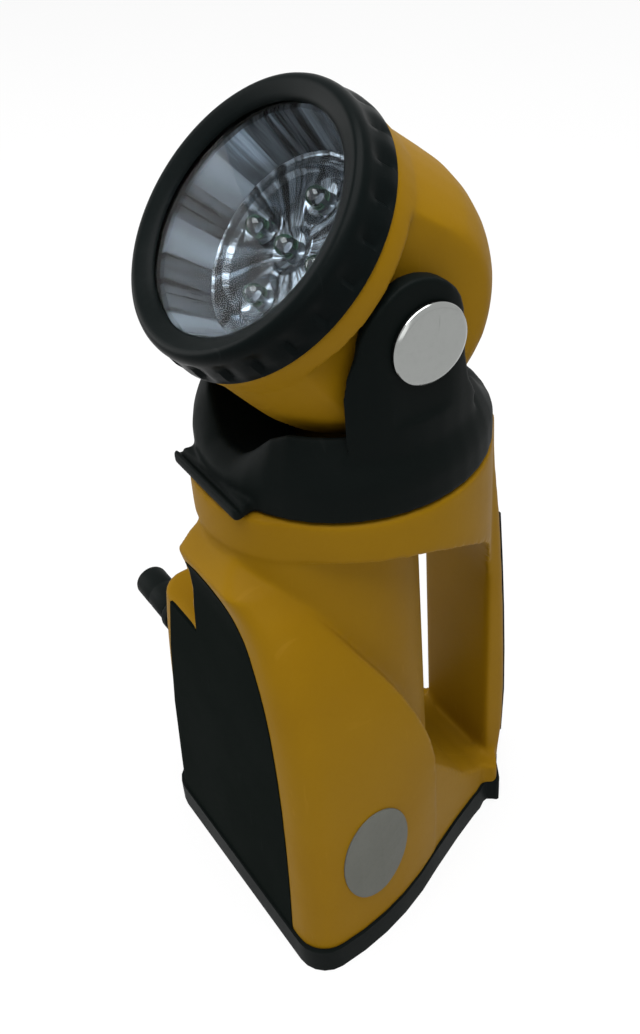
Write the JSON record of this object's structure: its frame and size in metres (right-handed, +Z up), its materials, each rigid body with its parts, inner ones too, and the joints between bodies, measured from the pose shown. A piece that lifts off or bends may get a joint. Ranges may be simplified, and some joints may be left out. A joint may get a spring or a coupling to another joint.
{
  "type": "hand crank flashlight",
  "caption": "Upright lantern flashlight with a carrying handle, a swivelling yoke with a tilting lamp head, and a fold-out side crank that drives a geared generator.",
  "frame": {"origin": "middle of the flat bottom of the base plate, on the yoke's swivel axis", "axes": "+Z up along the swivel axis, -Y out of the front panel, +Y towards the handle, -X out of the flank that carries the crank"},
  "size_m": [0.1127, 0.0941, 0.2426],
  "materials": {
    "yellow": "moulded yellow plastic with a fine satin grain",
    "black": "moulded black plastic, satin",
    "rubber": "soft black rubber",
    "chrome": "bright plated metal",
    "mirror": "vacuum metallised plastic",
    "lens": "clear polished plastic",
    "steel": "zinc plated steel",
    "brass": "machined brass",
    "white": "natural white gear plastic",
    "grey": "light grey plastic",
    "green": "coated circuit board",
    "blue": "shrink sleeve over a steel can",
    "lamp": "clear cast resin",
    "magnet": "sintered magnet, dark grey"
  },
  "bodies": {
    "base": {"body_shell": "yellow", "base_plate": "black", "base_screw_1": "steel", "base_screw_2": "steel", "base_screw_3": "steel", "base_screw_4": "steel", "front_panel": "black", "handle_grip": "rubber", "oval_plate": "grey", "crank_bush": "brass", "idler_axle": "steel", "gearbox_plate_left": "grey", "gearbox_plate_right": "grey", "gearbox_post_1": "steel", "gearbox_post_2": "steel", "gearbox_post_3": "steel", "stator_can": "steel", "battery_holder": "black", "battery_cell_1": "blue", "battery_cell_2": "blue", "battery_cell_3": "blue", "circuit_board": "green", "switch_body": "black"},
    "yoke": {"yoke_collar": "black", "swivel_retainer": "white", "pivot_pin_left": "steel", "pivot_pin_right": "steel", "pivot_cap_left": "chrome", "pivot_cap_right": "chrome"},
    "head": {"head_housing": "yellow", "bezel_ring": "black", "lens": "lens", "lens_gasket": "rubber", "reflector": "mirror", "led_board": "green", "led_1": "lamp", "led_2": "lamp", "led_3": "lamp", "led_4": "lamp", "led_5": "lamp"},
    "crank": {"crank_arm": "black", "crank_shaft": "steel", "crank_screw": "steel", "knob_pin": "steel", "crank_gear": "white"},
    "knob": {"crank_knob": "black"},
    "idler": {"idler_gear": "white"},
    "rotor": {"rotor_shaft": "brass", "rotor_magnet": "magnet"},
    "button": {"switch_button": "rubber"}
  },
  "joints": [
    {"name": "yoke_swivel", "type": "hinge", "parent": "base", "child": "yoke", "pos_m": [0, 0, 0.15], "axis": [0, 0, 1], "range_deg": [-170, 170]},
    {"name": "head_tilt", "type": "hinge", "parent": "yoke", "child": "head", "pos_m": [0, 0.0018, 0.19325], "axis": [1, 0, 0], "range_deg": [-50, 20]},
    {"name": "crank_turn", "type": "hinge", "parent": "base", "child": "crank", "pos_m": [0, -0.01915, 0.0421], "axis": [1, 0, 0], "continuous": true},
    {"name": "knob_turn", "type": "hinge", "parent": "crank", "child": "knob", "pos_m": [-0.06, -0.03471, 0.07018], "axis": [1, 0, 0], "continuous": true},
    {"name": "idler_turn", "type": "hinge", "parent": "base", "child": "idler", "pos_m": [0, -0.01915, 0.0621], "axis": [1, 0, 0], "continuous": true},
    {"name": "rotor_turn", "type": "hinge", "parent": "base", "child": "rotor", "pos_m": [0, -0.01915, 0.0805], "axis": [1, 0, 0], "continuous": true},
    {"name": "button_press", "type": "slide", "parent": "base", "child": "button", "axis": [0, -1, 0], "range_m": [0, 0.0015], "stiffness_N_per_m": 400}
  ],
  "couplings": [
    {"joint": "idler_turn", "follows": "crank_turn", "ratio": -4},
    {"joint": "rotor_turn", "follows": "crank_turn", "ratio": 14.4}
  ]
}
